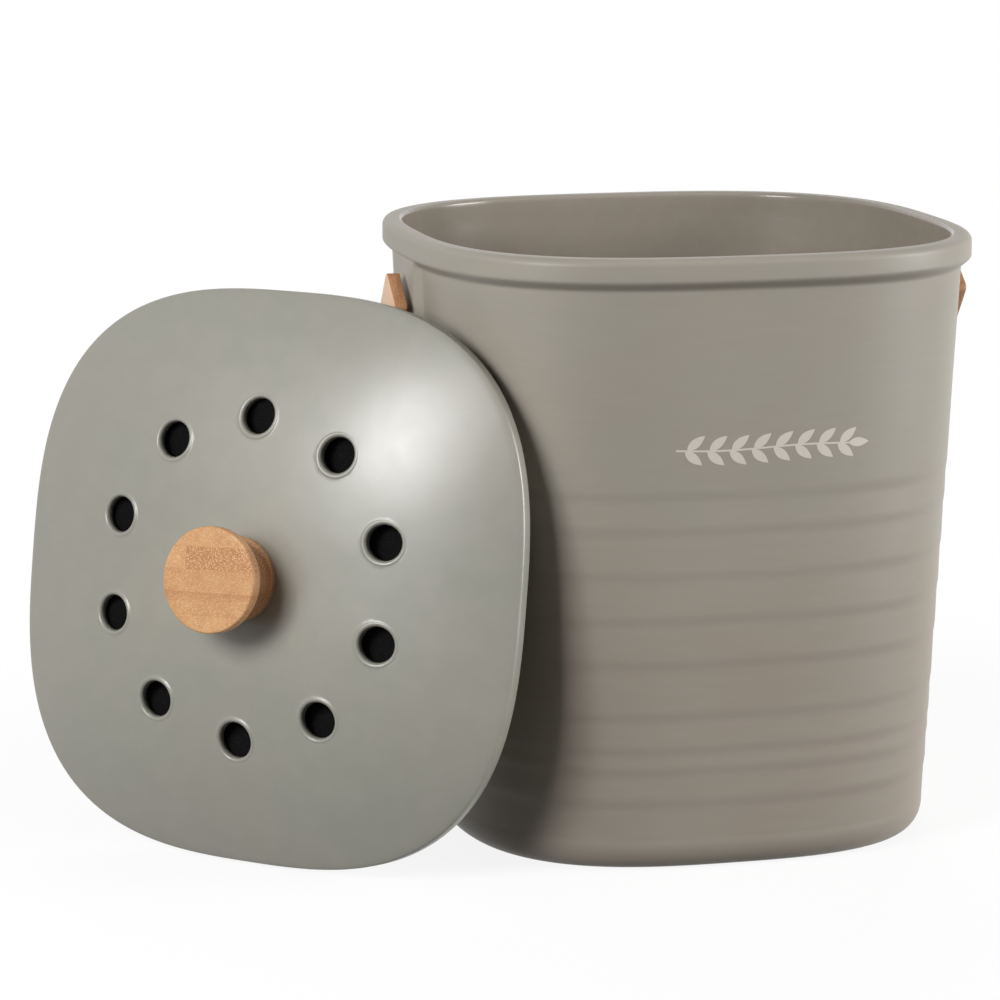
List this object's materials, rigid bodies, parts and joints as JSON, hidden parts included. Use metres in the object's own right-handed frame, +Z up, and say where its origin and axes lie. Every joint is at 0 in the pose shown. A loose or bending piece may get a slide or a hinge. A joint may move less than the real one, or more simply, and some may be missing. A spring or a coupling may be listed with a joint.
{
  "type": "kitchen caddy with a loose vented lid",
  "caption": "Tapered rounded-square bucket with stepped ribs and bent bamboo bail handle, and a domed vented lid with turned knob and felt filter leaning on it.",
  "frame": {"origin": "on the floor, on the axis of the bucket, in the plane of its foot ring", "axes": "+Z up, +X to the bucket's right along the handle's pivots, front of the bucket towards -Y; the lid leans at the left front"},
  "size_m": [0.3342, 0.2055, 0.213],
  "materials": {
    "clay_composite": "satin moulded bamboo-fibre composite with faint speckle",
    "bamboo": "lacquered laminated bamboo",
    "stainless": "satin stainless steel",
    "insert_brass": "plain turned brass",
    "black_felt": "black carbon felt",
    "cover_plastic": "fine matte moulded plastic"
  },
  "bodies": {
    "bucket_body": {"bucket": "clay_composite", "pivot_screw_left": "stainless", "pivot_screw_right": "stainless", "handle_spacer_left": "stainless", "handle_spacer_right": "stainless", "inner_washer_left": "stainless", "inner_washer_right": "stainless", "cap_nut_left": "stainless", "cap_nut_right": "stainless"},
    "handle_body": {"handle": "bamboo"},
    "lid_body": {"lid": "clay_composite", "knob": "bamboo", "knob_insert": "insert_brass", "knob_screw": "stainless", "knob_washer": "stainless", "carbon_filter": "black_felt"},
    "cover_body": {"filter_cover": "cover_plastic"}
  },
  "joints": [
    {"name": "handle_swing", "type": "hinge", "parent": "bucket_body", "child": "handle_body", "pos_m": [0, 0, 0.18], "axis": [1, 0, 0], "range_deg": [0, 200]},
    {"name": "lid_lift", "type": "slide", "parent": "bucket_body", "child": "lid_body", "axis": [-0.6761, -0.72, 0.1564], "range_m": [0, 0.15]},
    {"name": "cover_twist", "type": "hinge", "parent": "lid_body", "child": "cover_body", "pos_m": [-0.14947, -0.02521, 0.09749], "axis": [-0.6761, -0.72, 0.1564], "range_deg": [0, 30]}
  ]
}
